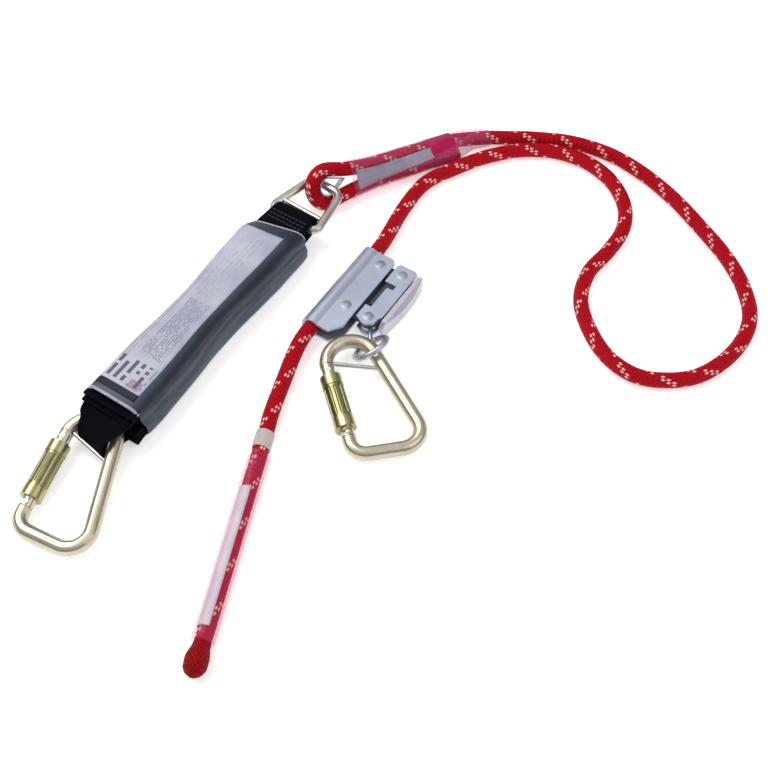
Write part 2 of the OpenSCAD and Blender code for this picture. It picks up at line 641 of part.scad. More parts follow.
// Ring's centre on the floor's axes, the direction that it leans to and how far
eye_ring_at = [118, -21.5, 12.5];
eye_ring_dir = 135;
eye_ring_lean = 45;
arm_d = 3.6;
module attachment_eye() {
  boss_at = [rocker_x[0], jaw_y];
  color("gainsboro") {
    translate(eye_ring_at) rotate([0, eye_ring_lean, eye_ring_dir]) rotate_extrude($fn = 64)
      translate([eye_ring_r, 0]) circle(d = eye_wire, $fn = 24);
    in_grab() difference() {
      union() {
        translate([boss_at.x, boss_at.y, -4.4]) cylinder(r = 5.4, h = 3.6);
        rod([boss_at.x - 2.5, boss_at.y - 3, -2.4], [-23.3, -40.5, -3.4], arm_d);
      }
      translate([boss_at.x, boss_at.y, -20]) cylinder(d = pin_d + running, h = 40);
    }
  }
}

rope();
thimble();
eye_sleeve();
eye_label();
eye_stitching();
end_whipping();
end_sleeve();
end_label();
end_stop();
link_ring();
link_keeper_bar();
absorber_cover();
absorber_label();
tear_webbing();
upper_loop();
lower_loop();
upper_stitching();
lower_stitching();
carabiner_a_body();
carabiner_a_captive_pin();
carabiner_a_nose_pin();
carabiner_a_gate_rivet();
carabiner_a_gate();
carabiner_a_gate_spring();
carabiner_a_plunger();
carabiner_a_sleeve();
carabiner_b_body();
carabiner_b_captive_pin();
carabiner_b_nose_pin();
carabiner_b_gate_rivet();
carabiner_b_gate();
carabiner_b_gate_spring();
carabiner_b_plunger();
carabiner_b_sleeve();
grab_housing();
grab_rivets();
rocker_upper();
rocker_lower();
rocker_spring();
jaw_plates();
jaw_block();
jaw_rivets();
jaw_handle();
attachment_eye();
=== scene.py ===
import math

import bpy
import numpy as np
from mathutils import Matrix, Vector, noise


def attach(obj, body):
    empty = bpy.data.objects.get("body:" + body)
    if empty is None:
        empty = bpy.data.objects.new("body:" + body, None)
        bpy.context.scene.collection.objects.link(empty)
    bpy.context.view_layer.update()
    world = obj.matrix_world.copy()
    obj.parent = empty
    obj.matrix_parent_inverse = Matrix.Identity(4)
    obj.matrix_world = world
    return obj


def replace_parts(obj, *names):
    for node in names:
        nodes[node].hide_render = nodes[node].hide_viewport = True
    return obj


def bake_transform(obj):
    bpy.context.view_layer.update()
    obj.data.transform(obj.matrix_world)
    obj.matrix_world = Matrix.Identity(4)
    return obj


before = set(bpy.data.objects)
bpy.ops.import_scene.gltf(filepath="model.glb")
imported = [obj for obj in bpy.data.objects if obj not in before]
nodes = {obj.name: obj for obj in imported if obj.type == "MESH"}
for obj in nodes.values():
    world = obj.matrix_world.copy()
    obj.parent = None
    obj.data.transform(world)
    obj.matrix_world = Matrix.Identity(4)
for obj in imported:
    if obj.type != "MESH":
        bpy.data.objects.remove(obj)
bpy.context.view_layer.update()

MM = 0.001
pack_h = 35.0
Z = np.array([0.0, 0.0, 1.0])


# ---------------------------------------------------------------- geometry helpers
def unit(v):
    v = np.asarray(v, float)
    return v / max(np.linalg.norm(v), 1e-12)


def smooth_path(points, step):
    """Centripetal Catmull-Rom curve through the points, resampled at an even step."""
    p = np.asarray(points, float)
    p = np.vstack([2 * p[0] - p[1], p, 2 * p[-1] - p[-2]])
    out = []
    for i in range(1, len(p) - 2):
        a, b, c, d = p[i - 1], p[i], p[i + 1], p[i + 2]
        t0 = 0.0
        t1 = t0 + math.sqrt(np.linalg.norm(b - a))
        t2 = t1 + math.sqrt(np.linalg.norm(c - b))
        t3 = t2 + math.sqrt(np.linalg.norm(d - c))
        for t in np.linspace(t1, t2, 24, endpoint=False):
            a1 = (t1 - t) / (t1 - t0) * a + (t - t0) / (t1 - t0) * b
            a2 = (t2 - t) / (t2 - t1) * b + (t - t1) / (t2 - t1) * c
            a3 = (t3 - t) / (t3 - t2) * c + (t - t2) / (t3 - t2) * d
            b1 = (t2 - t) / (t2 - t0) * a1 + (t - t0) / (t2 - t0) * a2
            b2 = (t3 - t) / (t3 - t1) * a2 + (t - t1) / (t3 - t1) * a3
            out.append((t2 - t) / (t2 - t1) * b1 + (t - t1) / (t2 - t1) * b2)
    out.append(p[-2])
    out = np.array(out)
    s = np.concatenate([[0], np.cumsum(np.linalg.norm(np.diff(out, axis=0), axis=1))])
    n = max(2, int(round(s[-1] / step)))
    t = np.linspace(0, s[-1], n + 1)
    return np.stack([np.interp(t, s, out[:, k]) for k in range(3)], 1), t


def tangents(path):
    t = np.gradient(path, axis=0)
    return t / np.linalg.norm(t, axis=1)[:, None]


def sweep(path, outline, turn=None):
    """Rings of an outline (N,2) or (rings,N,2) across a path: x to the side, y up."""
    t = tangents(path)
    side = np.cross(t, Z)
    side /= np.linalg.norm(side, axis=1)[:, None]
    up = np.cross(side, t)
    o = np.asarray(outline, float)
    if o.ndim == 2:
        o = np.repeat(o[None], len(path), 0)
    if turn is not None:
        c, s = np.cos(turn)[:, None], np.sin(turn)[:, None]
        o = np.stack([o[..., 0] * c - o[..., 1] * s, o[..., 0] * s + o[..., 1] * c], -1)
    return path[:, None] + o[..., :1] * side[:, None] + o[..., 1:] * up[:, None]


def lattice(name, grid, wrap=False, cap=False, uv=None, loop=False):
    """Mesh over a grid of points in mm: rows x columns. UV is in mm along and across."""
    g = np.asarray(grid, float)
    rows, cols = g.shape[:2]
    if uv is None:
        mid = g[:, cols // 2]
        u = np.concatenate([[0], np.cumsum(np.linalg.norm(np.diff(mid, axis=0), axis=1))])
        ring = np.vstack([g[rows // 2], g[rows // 2][:1]])
        v = np.concatenate([[0], np.cumsum(np.linalg.norm(np.diff(ring, axis=0), axis=1))])
        if loop:
            u = np.append(u, u[-1] + np.linalg.norm(mid[0] - mid[-1]))
        else:
            u = np.append(u, u[-1])
    else:
        u, v = uv
    faces, coords = [], []
    for r in range(rows if loop else rows - 1):
        for c in range(cols if wrap else cols - 1):
            r2, c2 = (r + 1) % rows, (c + 1) % cols
            faces.append((r * cols + c, r * cols + c2, r2 * cols + c2, r2 * cols + c))
            coords += [(u[r], v[c]), (u[r], v[c + 1]), (u[r + 1], v[c + 1]), (u[r + 1], v[c])]
    if cap:
        faces.append(tuple(range(cols))[::-1])
        coords += [(u[0], v[c]) for c in range(cols)][::-1]
        faces.append(tuple((rows - 1) * cols + c for c in range(cols)))
        coords += [(u[rows - 1], v[c]) for c in range(cols)]
    mesh = bpy.data.meshes.new(name)
    mesh.from_pydata((g.reshape(-1, 3) * MM).tolist(), [], faces)
    layer = mesh.uv_layers.new(name="UVMap")
    layer.data.foreach_set("uv", np.array(coords, np.float32).ravel())
    mesh.update()
    mesh.shade_smooth()
    obj = bpy.data.objects.new(name, mesh)
    bpy.context.scene.collection.objects.link(obj)
    return obj


def round_outline(r, n):
    a = np.arange(n) * 2 * math.pi / n
    return np.stack([r * np.cos(a), r * np.sin(a)], 1)


def thicken(obj, mm, offset=-1.0):
    m = obj.modifiers.new("thickness", "SOLIDIFY")
    m.thickness = mm * MM
    m.offset = offset
    m.use_even_offset = True
    return obj


def rounded(obj, mm, segments=2):
    m = obj.modifiers.new("edge", "BEVEL")
    m.width = mm * MM
    m.segments = segments
    m.limit_method = "ANGLE"
    m.angle_limit = math.radians(40)
    return obj


def wobble(p, scale, seed):
    """Smooth noise at a point in mm."""
    return noise.noise(Vector((p[0] / scale + seed, p[1] / scale - seed, p[2] / scale + 2.3 * seed)))


def frame_point(origin, angle):
    c, s = math.cos(math.radians(angle)), math.sin(math.radians(angle))
    origin = np.array(origin, float)

    def place(p):
        p = np.asarray(p, float)
        return np.stack([origin[0] + p[..., 0] * c - p[..., 1] * s,
                         origin[1] + p[..., 0] * s + p[..., 1] * c, origin[2] + p[..., 2]], -1)
    return place


# ---------------------------------------------------------------- materials
class Finish:
    """A node material: a principled shader and short calls that make its nodes."""

    def __init__(self, name, color, metallic=0.0, roughness=0.5, **direct):
        self.mat = bpy.data.materials.new(name)
        self.mat.use_nodes = True
        self.tree = self.mat.node_tree
        self.bsdf = self.tree.nodes["Principled BSDF"]
        self.set("Base Color", (*color, 1))
        self.set("Metallic", metallic)
        self.set("Roughness", roughness)
        for key, value in direct.items():
            self.set(key.replace("_", " "), value)
        self.mat.diffuse_color = (*color, 1)

    def set(self, socket, value):
        self.bsdf.inputs[socket].default_value = value

    def node(self, kind, **values):
        n = self.tree.nodes.new(kind)
        for k, v in values.items():
            setattr(n, k, v)
        return n

    def put(self, n, index, value):
        if isinstance(value, bpy.types.NodeSocket):
            self.tree.links.new(value, n.inputs[index])
        elif isinstance(value, tuple) and len(value) == 3 and n.inputs[index].type == "RGBA":
            n.inputs[index].default_value = (*value, 1)
        else:
            n.inputs[index].default_value = value

    def math(self, op, a, b=0.0, c=0.0):
        n = self.node("ShaderNodeMath", operation=op)
        for i, v in enumerate((a, b, c)):
            self.put(n, i, v)
        return n.outputs[0]

    def uv(self):
        n = self.node("ShaderNodeSeparateXYZ")
        self.tree.links.new(self.node("ShaderNodeUVMap").outputs[0], n.inputs[0])
        return n.outputs[0], n.outputs[1]

    def place(self, scale=(1, 1, 1), turn=0.0, uv=False):
        c = self.node("ShaderNodeTexCoord")
        m = self.node("ShaderNodeMapping")
        self.tree.links.new(c.outputs["UV" if uv else "Object"], m.inputs[0])
        m.inputs["Scale"].default_value = scale
        m.inputs["Rotation"].default_value = (0, 0, turn)
        return m.outputs[0]

    def noise(self, scale, at=None, detail=3.0, rough=0.55):
        n = self.node("ShaderNodeTexNoise")
        self.tree.links.new(at or self.place(), n.inputs["Vector"])
        n.inputs["Scale"].default_value = scale
        n.inputs["Detail"].default_value = detail
        n.inputs["Roughness"].default_value = rough
        return n.outputs["Fac"]

    def ramp(self, value, *stops):
        n = self.node("ShaderNodeValToRGB")
        self.tree.links.new(value, n.inputs[0])
        e = n.color_ramp.elements
        while len(e) < len(stops):
            e.new(0.5)
        for item, (where, color) in zip(e, stops):
            item.position = where
            item.color = (*color, 1) if isinstance(color, tuple) else (color, color, color, 1)
        return n.outputs[0]

    def mix(self, amount, a, b):
        n = self.node("ShaderNodeMix", data_type="RGBA")
        self.put(n, 0, amount)
        self.put(n, 6, a)
        self.put(n, 7, b)
        return n.outputs[2]

    def span(self, value, low, high):
        n = self.node("ShaderNodeMapRange")
        self.put(n, 0, value)
        n.inputs[3].default_value, n.inputs[4].default_value = low, high
        return n.outputs[0]

    def bump(self, height, distance, strength=1.0, after=None):
        n = self.node("ShaderNodeBump")
        n.inputs["Strength"].default_value = strength
        n.inputs["Distance"].default_value = distance * MM
        self.tree.links.new(height, n.inputs["Height"])
        if after is not None:
            self.tree.links.new(after, n.inputs["Normal"])
        return n.outputs[0]

    def out(self, socket, value):
        self.tree.links.new(value, self.bsdf.inputs[socket])


def plated_metal_painted_light(name, colors, roughness, metallic=0.9, streak=(1, 1, 1), grain=0.02):
    """Plated steel: slow colour drift, cloudy roughness, fine scratches, painted highlights on convex edges
    and painted shade in hollows.
    """
    f = Finish(name, colors[0], metallic, roughness)
    drift = f.noise(45, detail=4)
    color = f.ramp(drift, (0.3, colors[0]), (0.52, colors[1]), (0.72, colors[2]))
    edge = f.node("ShaderNodeNewGeometry").outputs["Pointiness"]
    # Painted highlight: convex edges coloured lighter.
    painted_edge_highlight = f.ramp(edge, (0.5, 0.0), (0.58, 1.0))
    color = f.mix(f.math("MULTIPLY", painted_edge_highlight, 0.45), color, tuple(min(1.0, c * 1.25 + 0.05) for c in colors[1]))
    # Painted shade: hollows and inner corners coloured darker.
    painted_hollow_shade = f.ramp(edge, (0.40, 1.0), (0.49, 0.0))
    f.out("Base Color", f.mix(f.math("MULTIPLY", painted_hollow_shade, 0.5), color, tuple(c * 0.35 for c in colors[0])))
    cloud = f.noise(160, detail=5)
    f.out("Roughness", f.span(cloud, roughness - 0.1, roughness + 0.14))
    scratch = f.noise(900, at=f.place(streak, 0.6), detail=2, rough=0.7)
    low = f.bump(f.noise(300, detail=3), 0.12, 0.5)
    f.out("Normal", f.bump(scratch, grain, 0.5, after=low))
    return f.mat


def weave_cloth(name, dark, light, pitch=1.5, tint=None):
    """Webbing: warp ribs along its length with a herringbone step."""
    f = Finish(name, dark, 0.0, 0.9, Specular_IOR_Level=0.08)
    u, v = f.uv()
    rib = f.math("DIVIDE", v, pitch)
    phase = f.math("MULTIPLY", f.math("PINGPONG", rib, 4.0), 0.9)
    cross = f.math("ADD", f.math("DIVIDE", u, pitch * 0.7), phase)
    a = f.math("ABSOLUTE", f.math("SINE", f.math("MULTIPLY", rib, math.pi)))
    b = f.math("ABSOLUTE", f.math("SINE", f.math("MULTIPLY", cross, math.pi)))
    h = f.math("MULTIPLY", f.math("POWER", a, 0.6), f.math("POWER", b, 0.5))
    fuzz = f.noise(2600, detail=2)
    f.out("Base Color", f.mix(f.math("MULTIPLY", h, fuzz), dark, light))
    f.out("Normal", f.bump(h, 0.45, 0.9))
    return f.mat


def clear_plastic(name, tint, alpha, roughness=0.12, milk=0.25):
    f = Finish(name, tint, 0.0, roughness, Coat_Weight=0.6, Coat_Roughness=0.05)
    haze = f.noise(60, detail=3)
    rim = f.node("ShaderNodeLayerWeight")
    rim.inputs[0].default_value = 0.35
    level = f.math("ADD", f.span(haze, alpha * (1 - milk), alpha * (1 + milk)),
                   f.math("MULTIPLY", rim.outputs["Facing"], 0.22))
    f.out("Alpha", f.math("MINIMUM", level, 1.0))
    f.out("Normal", f.bump(f.noise(170, detail=2), 0.5, 0.5))
    return f.mat


RED, DEEP_RED, PINK = (0.52, 0.0, 0.011), (0.25, 0.0, 0.005), (0.92, 0.55, 0.52)


def braid(name, red=RED, deep=DEEP_RED, pale=PINK, flecks=True):
    """Kernmantle sheath on UV: u in mm along, v from 0 to 1 round. Pale yarns show in pairs."""
    f = Finish(name, red, 0.0, 0.7, Specular_IOR_Level=0.12)
    u, v = f.uv()
    lead, strands = 60.0, 16.0
    turn = f.math("DIVIDE", u, lead)
    a = f.math("MULTIPLY", f.math("ADD", v, turn), strands)
    b = f.math("MULTIPLY", f.math("SUBTRACT", v, turn), strands)
    ia, ib = f.math("FLOOR", a), f.math("FLOOR", b)
    over = f.math("FLOORED_MODULO", f.math("ADD", ia, ib), 2.0)
    bump_a = f.math("SINE", f.math("MULTIPLY", f.math("FRACT", a), math.pi))
    bump_b = f.math("SINE", f.math("MULTIPLY", f.math("FRACT", b), math.pi))
    top = f.node("ShaderNodeMix", data_type="FLOAT")
    f.put(top, 0, over)
    f.put(top, 2, bump_a)
    f.put(top, 3, bump_b)
    yarn = f.math("POWER", f.math("MAXIMUM", top.outputs[0], 0.0), 0.6)
    fibre = f.noise(1.0, at=f.place((2.2, 60.0, 1.0), uv=True), detail=3)
    color = f.mix(f.math("MULTIPLY", yarn, f.span(fibre, 0.75, 1.2)), deep, red)
    if flecks:
        ma = f.math("LESS_THAN", f.math("FLOORED_MODULO", ia, 8.0), 1.5)
        mb = f.math("LESS_THAN", f.math("FLOORED_MODULO", ib, 8.0), 5.5)
        shown = f.math("MULTIPLY", f.math("MULTIPLY", ma, mb), f.math("SUBTRACT", 1.0, over))
        shown = f.math("MULTIPLY", shown, f.math("POWER", bump_a, 0.5))
        color = f.mix(shown, color, pale)
    f.out("Base Color", color)
    f.out("Roughness", f.span(fibre, 0.5, 0.75))
    f.out("Normal", f.bump(yarn, 0.55, 0.9))
    return f.mat


def slate_film():
    """Shrunk film: slate blue, with painted shade making it darker just under the top edge, cloudy, with fine
    pulled creases.
    """
    f = Finish("film_slate", (0.040, 0.060, 0.084), 0.0, 0.46, Specular_IOR_Level=0.3)
    slow = f.noise(22, at=f.place((1.0, 1.0, 1.6)), detail=3)
    fine = f.noise(260, detail=4)
    color = f.ramp(slow, (0.3, (0.026, 0.042, 0.064)), (0.5, (0.044, 0.066, 0.092)),
                   (0.72, (0.066, 0.092, 0.118)))
    color = f.mix(f.span(fine, 0.0, 0.2), color, (0.10, 0.12, 0.14))
    height = f.node("ShaderNodeSeparateXYZ")
    f.tree.links.new(f.node("ShaderNodeNewGeometry").outputs["Position"], height.inputs[0])
    up_side = f.math("DIVIDE", height.outputs[2], pack_h * MM)
    # Painted shade: a darker band on the upper part of the sides, stopping short of the top.
    painted_shade_band = f.ramp(up_side, (0.50, 0.0), (0.74, 1.0), (0.93, 1.0), (1.0, 0.0))
    f.out("Base Color", f.mix(f.math("MULTIPLY", painted_shade_band, 0.7), color, (0.008, 0.014, 0.030)))
    f.out("Roughness", f.span(f.noise(90, detail=4), 0.36, 0.58))
    pull = f.noise(70, at=f.place((1, 1, 0.5), math.radians(-57)), detail=4)
    f.out("Normal", f.bump(fine, 0.05, 0.4, after=f.bump(pull, 0.9, 0.45)))
    return f.mat


def label_face():
    """White label with grey rules and blocks of short dashes in place of print."""
    f = Finish("label_print", (0.42, 0.43, 0.52), 0.0, 0.5, Specular_IOR_Level=0.3)
    u, v = f.uv()
    paper = f.ramp(f.noise(30, detail=3), (0.35, (0.38, 0.39, 0.49)), (0.65, (0.50, 0.51, 0.60)))

    def box(value, low, high):
        return f.math("MULTIPLY", f.math("GREATER_THAN", value, low), f.math("LESS_THAN", value, high))

    def dashes(pitch, thick, length, cut, seed):
        row = f.math("FLOOR", f.math("DIVIDE", v, pitch))
        in_row = f.math("LESS_THAN", f.math("FRACT", f.math("DIVIDE", v, pitch)), thick)
        cell = f.node("ShaderNodeTexWhiteNoise", noise_dimensions="2D")
        p = f.node("ShaderNodeCombineXYZ")
        f.put(p, 0, f.math("FLOOR", f.math("DIVIDE", u, length)))
        f.put(p, 1, f.math("ADD", row, seed))
        f.tree.links.new(p.outputs[0], cell.inputs[0])
        return f.math("MULTIPLY", in_row, f.math("GREATER_THAN", cell.outputs[0], cut))

    small = f.math("MULTIPLY", dashes(1.7, 0.5, 1.4, 0.25, 3.0),
                   f.math("MULTIPLY", box(u, 36, 92), box(v, 4, 22)))
    upper = f.math("MULTIPLY", dashes(3.1, 0.4, 2.3, 0.45, 9.0),
                   f.math("MULTIPLY", box(u, 96, 160), box(v, 9, 24)))
    side_rule = f.math("MULTIPLY", dashes(2.4, 0.3, 3.4, 0.12, 12.0),
                       f.math("MULTIPLY", box(u, 28, 118), box(v, 25.5, 32)))
    heavy = f.math("MULTIPLY", dashes(5.2, 0.5, 2.6, 0.3, 5.0),
                   f.math("MULTIPLY", box(u, 10, 30), box(v, 2, 31)))
    color = f.mix(f.math("MULTIPLY", small, 0.6), paper, (0.12, 0.12, 0.19))
    color = f.mix(f.math("MULTIPLY", upper, 0.2), color, (0.20, 0.20, 0.28))
    color = f.mix(f.math("MULTIPLY", side_rule, 0.5), color, (0.13, 0.13, 0.20))
    color = f.mix(f.math("MULTIPLY", heavy, 0.85), color, (0.03, 0.03, 0.07))
    mark = f.math("MULTIPLY", box(u, 8, 16), box(v, 3, 12))
    color = f.mix(f.math("MULTIPLY", mark, 0.5), color, (0.20, 0.07, 0.13))
    f.out("Base Color", f.mix(box(u, -1, 6.5), color, (0.004, 0.005, 0.020)))
    f.out("Normal", f.bump(f.noise(50, detail=3), 0.5, 0.4))
    return f.mat


def plain_cloudy(name, low, high, roughness, scale=120, relief=0.1, **direct):
    f = Finish(name, low, 0.0, roughness, **direct)
    n = f.noise(scale, detail=4)
    f.out("Base Color", f.ramp(n, (0.3, low), (0.7, high)))
    f.out("Roughness", f.span(n, roughness - 0.08, roughness + 0.1))
    f.out("Normal", f.bump(n, relief, 0.6))
    return f.mat


def thread_finish(name, low, high, pitch=0.9):
    """Twisted sewing or whipping thread, on UV in mm."""
    f = Finish(name, low, 0.0, 0.7, Specular_IOR_Level=0.2)
    u, v = f.uv()
    twist = f.math("ABSOLUTE", f.math("SINE", f.math("MULTIPLY", f.math("ADD", u, v), math.pi / pitch)))
    f.out("Base Color", f.mix(twist, low, high))
    f.out("Normal", f.bump(twist, 0.25, 0.8))
    return f.mat


M = {
    "rope": braid("rope_braid"),
    "zinc": plated_metal_painted_light("zinc_plate",
                       ((0.272, 0.302, 0.387), (0.352, 0.386, 0.473), (0.44, 0.47, 0.55)), 0.42, 0.75,
                       streak=(1, 14, 1)),
    "handle": plated_metal_painted_light("zinc_handle",
                         ((0.391, 0.391, 0.464), (0.476, 0.468, 0.533), (0.561, 0.561, 0.602)), 0.36, 0.75,
                         streak=(1, 10, 1)),
    "rivet": plated_metal_painted_light("rivet_steel",
                        ((0.225, 0.265, 0.289), (0.3, 0.343, 0.365), (0.375, 0.413, 0.426)), 0.40, 0.8),
    "gold": plated_metal_painted_light("yellow_zinc",
                       ((0.423, 0.368, 0.273), (0.515, 0.469, 0.352), (0.57, 0.506, 0.422)), 0.30, 0.9,
                       streak=(1, 8, 1)),
    "sleeve": plated_metal_painted_light("yellow_zinc_sleeve",
                         ((0.272, 0.258, 0.118), (0.354, 0.333, 0.167), (0.435, 0.408, 0.26)), 0.26,
                         0.95, streak=(1, 8, 1)),
    "steel": plated_metal_painted_light("bright_steel",
                        ((0.44, 0.448, 0.44), (0.528, 0.536, 0.528), (0.608, 0.608, 0.6)), 0.24, 0.95),
    "link": plated_metal_painted_light("link_steel",
                       ((0.425, 0.403, 0.368), (0.527, 0.504, 0.456), (0.612, 0.588, 0.528)), 0.28, 0.9),
    "ring": plated_metal_painted_light("ring_steel",
                       ((0.391, 0.399, 0.458), (0.476, 0.484, 0.546), (0.578, 0.578, 0.634)), 0.34, 0.85),
    "dark": plated_metal_painted_light("black_oxide",
                       ((0.016, 0.022, 0.022), (0.030, 0.038, 0.038), (0.055, 0.065, 0.065)), 0.5,
                       0.6),
    "spring": plated_metal_painted_light("spring_steel",
                         ((0.30, 0.31, 0.32), (0.40, 0.41, 0.42), (0.52, 0.52, 0.52)), 0.3, 0.9),
    "thimble": plated_metal_painted_light("thimble_steel",
                          ((0.36, 0.38, 0.42), (0.48, 0.50, 0.54), (0.62, 0.63, 0.66)), 0.3, 0.85),
    "film": slate_film(),
    "film_edge": plain_cloudy("film_cut_edge", (0.30, 0.31, 0.40), (0.46, 0.47, 0.56), 0.4, 90, 0.3),
    "label": label_face(),
    "webbing": weave_cloth("black_webbing", (0.0012, 0.0016, 0.003), (0.007, 0.008, 0.013)),
    "stitch": thread_finish("seam_thread", (0.03, 0.032, 0.045), (0.10, 0.105, 0.13)),
    "clear": clear_plastic("clear_sleeve_pink", (0.62, 0.12, 0.32), 0.09),
    "clear_end": clear_plastic("clear_sleeve_end", (0.74, 0.10, 0.32), 0.05),
    "eye_label": plain_cloudy("sleeve_label", (0.24, 0.25, 0.32), (0.37, 0.37, 0.45), 0.5, 60, 0.2),
    "end_label": plain_cloudy("end_label_paper", (0.58, 0.60, 0.64), (0.74, 0.76, 0.80), 0.5, 60, 0.2),
    "magenta": thread_finish("magenta_thread", (0.36, 0.003, 0.060), (0.62, 0.012, 0.12)),
    "whipping": thread_finish("pale_thread", (0.50, 0.40, 0.40), (0.82, 0.76, 0.74)),
    "knob": braid("rope_knob", (0.33, 0.001, 0.006), (0.12, 0.0005, 0.002), flecks=False),
}

CAD_FINISH = {
    "thimble": "thimble", "link_ring": "link", "link_keeper_bar": "link",
    "grab_housing": "zinc", "grab_rivets": "rivet", "rocker_upper": "dark", "rocker_lower": "dark",
    "rocker_spring": "spring", "jaw_plates": "zinc", "jaw_block": "dark", "jaw_rivets": "rivet",
    "jaw_handle": "handle", "attachment_eye": "ring",
}
for hook in "ab":
    CAD_FINISH.update({f"carabiner_{hook}_body": "gold", f"carabiner_{hook}_gate": "gold",
                       f"carabiner_{hook}_sleeve": "sleeve", f"carabiner_{hook}_captive_pin": "steel",
                       f"carabiner_{hook}_nose_pin": "steel", f"carabiner_{hook}_gate_rivet": "steel",
                       f"carabiner_{hook}_gate_spring": "spring", f"carabiner_{hook}_plunger": "spring"})


def finish_with(obj, key):
    obj.data.materials.clear()
    obj.data.materials.append(M[key])
    return obj


for cad_name, key in CAD_FINISH.items():
    finish_with(nodes[cad_name], key)

# ---------------------------------------------------------------- camera
camera_data = bpy.data.cameras.new("camera")
camera_data.sensor_width = 36
camera_data.lens = 60.94
camera_data.clip_end = 20
camera = bpy.data.objects.new("camera", camera_data)
camera.location = (0.127, -0.5575, 0.7345)
camera.rotation_euler = (math.radians(35), 0, 0)
bpy.context.scene.collection.objects.link(camera)
bpy.context.scene.camera = camera

# ---------------------------------------------------------------- the rope
rope_r = 5.5
eye_hole, eye_dir, bight_r, bight_tilt = np.array([84, 125.5, 18.2]), math.radians(37), 12.8, math.radians(60)
eye_spine = [
    ((101, 134.8, 16.3), 58, 8.6), ((117, 144, 14), 52, 6.4), ((131, 151.5, 12.6), 44, 5.9),
    ((146, 159.5, 11.2), 34, 5.9), ((163, 168.5, 9.6), 20, 5.9), ((180, 177.5, 8), 8, 5.9)]
rope_route = [
    (194, 187, 7.4), (210, 189, 6.8), (226, 190, 5.6), (243, 189.5, 5.6), (274, 185, 5.6), (303, 172, 5.6),
    (326, 152, 5.6), (347, 125, 5.6), (363, 97, 5.6), (378, 67, 5.6), (386, 40, 5.6), (387, 12, 5.6),
    (378, -10, 5.6), (361, -29, 5.6), (341, -41, 5.6), (320, -44, 5.6), (300, -40, 5.6), (283, -25, 5.6),
    (272, -1, 5.6), (268, 26, 5.6), (276, 52, 5.6), (292, 72, 5.6), (305, 93, 5.6), (309, 116, 5.6),
    (302, 142, 5.6), (287, 161, 5.6), (266, 173, 5.6), (238, 176.5, 5.6), (207.5, 169.4, 5.6),
    (183.2, 157.4, 5.6),
    (159, 141.5, 5.6), (142, 115, 5.6), (131.5, 91, 6.6)]
tail_route = [(65, -23, 8.4), (59, -43, 7.2), (51, -73, 6.8)]
tail_top, tail_end = np.array([49.0, -84.4, 6.8]), np.array([17.0, -243, 6.8])
in_pack = frame_point((0, 0, 0), 57)
in_grab = frame_point((96, 30, 9), 57)

spine = np.array([e[0] for e in eye_spine], float)
spine_t = tangents(spine)
spine_t[0], spine_t[-1] = unit(spine[1] - spine[0]), unit(spine[-1] - spine[-2])


def side_of(direction, tilt):
    flat = math.cos(tilt)
    return np.array([-math.sin(direction) * flat, math.cos(direction) * flat, math.sin(tilt)])


def strand(k, s):
    direction = math.atan2(spine_t[k][1], spine_t[k][0])
    return spine[k] + s * eye_spine[k][2] * side_of(direction, math.radians(eye_spine[k][1]))


bight = [eye_hole + bight_r * (math.cos(a) * np.array([math.cos(eye_dir), math.sin(eye_dir), 0])
                               + math.sin(a) * side_of(eye_dir, bight_tilt))
         for a in np.radians(np.arange(-70, -291, -20))]
route = ([strand(k, -1) for k in range(5, -1, -1)] + bight + [strand(k, 1) for k in range(6)]
         + [np.array(p, float) for p in rope_route] + [in_grab((50, 0, 0)), in_grab((-46, 0, 0))]
         + [np.array(p, float) for p in tail_route] + [tail_top, tail_end])
rope_line, rope_s = smooth_path(route, 2.0)
rope_line[:, 2] = np.maximum(rope_line[:, 2], rope_r)
sides = 20
rope = lattice("rope_sheath", sweep(rope_line, round_outline(rope_r, sides)), wrap=True, cap=True,
               uv=(np.append(rope_s, rope_s[-1]), np.arange(sides + 1) / sides))
finish_with(rope, "rope")
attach(rope, "rope_assembly")
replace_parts(rope, "rope")

# ---------------------------------------------------------------- clear sleeve and label on the eye
# The film runs on past the sewn strands as a narrowing neck, with half the gap between its strands
neck_points, neck_gaps = [[193.5, 186, 7.6], [210, 189, 7.1]], [2.6, 0.3]
film_points = np.vstack([spine, neck_points])
spine_line, spine_s = smooth_path(film_points, 2.0)
known = np.concatenate([[0], np.cumsum(np.linalg.norm(np.diff(film_points, axis=0), axis=1))])
known *= spine_s[-1] / known[-1]
twist = np.radians(np.interp(spine_s, known, [e[1] for e in eye_spine] + [0, 0]))
half_gap = np.interp(spine_s, known, [e[2] for e in eye_spine] + neck_gaps)


def twin(r, gap, dip=0.0, n=14):
    """Outline round two strands side by side; dip draws the film in between them."""
    a = np.linspace(-90, 90, n)
    right = [(gap + r * math.cos(math.radians(x)), r * math.sin(math.radians(x))) for x in a]
    left = [(-gap + r * math.cos(math.radians(x)), r * math.sin(math.radians(x))) for x in a + 180]
    span = np.linspace(0.15, 0.85, 6)
    top = [(gap - 2 * gap * t, r - dip * math.sin(math.pi * t)) for t in span]
    low = [(-gap + 2 * gap * t, -r + dip * math.sin(math.pi * t)) for t in span]
    return np.array(right + top + left + low)


def wrinkle(grid, depth, scale, seed):
    g = grid.copy()
    middle = g.mean(1, keepdims=True)
    out = g - middle
    out /= np.linalg.norm(out, axis=-1)[..., None]
    amount = np.array([[wobble(p, scale, seed) for p in row] for row in g])
    return g + out * (amount * depth)[..., None]


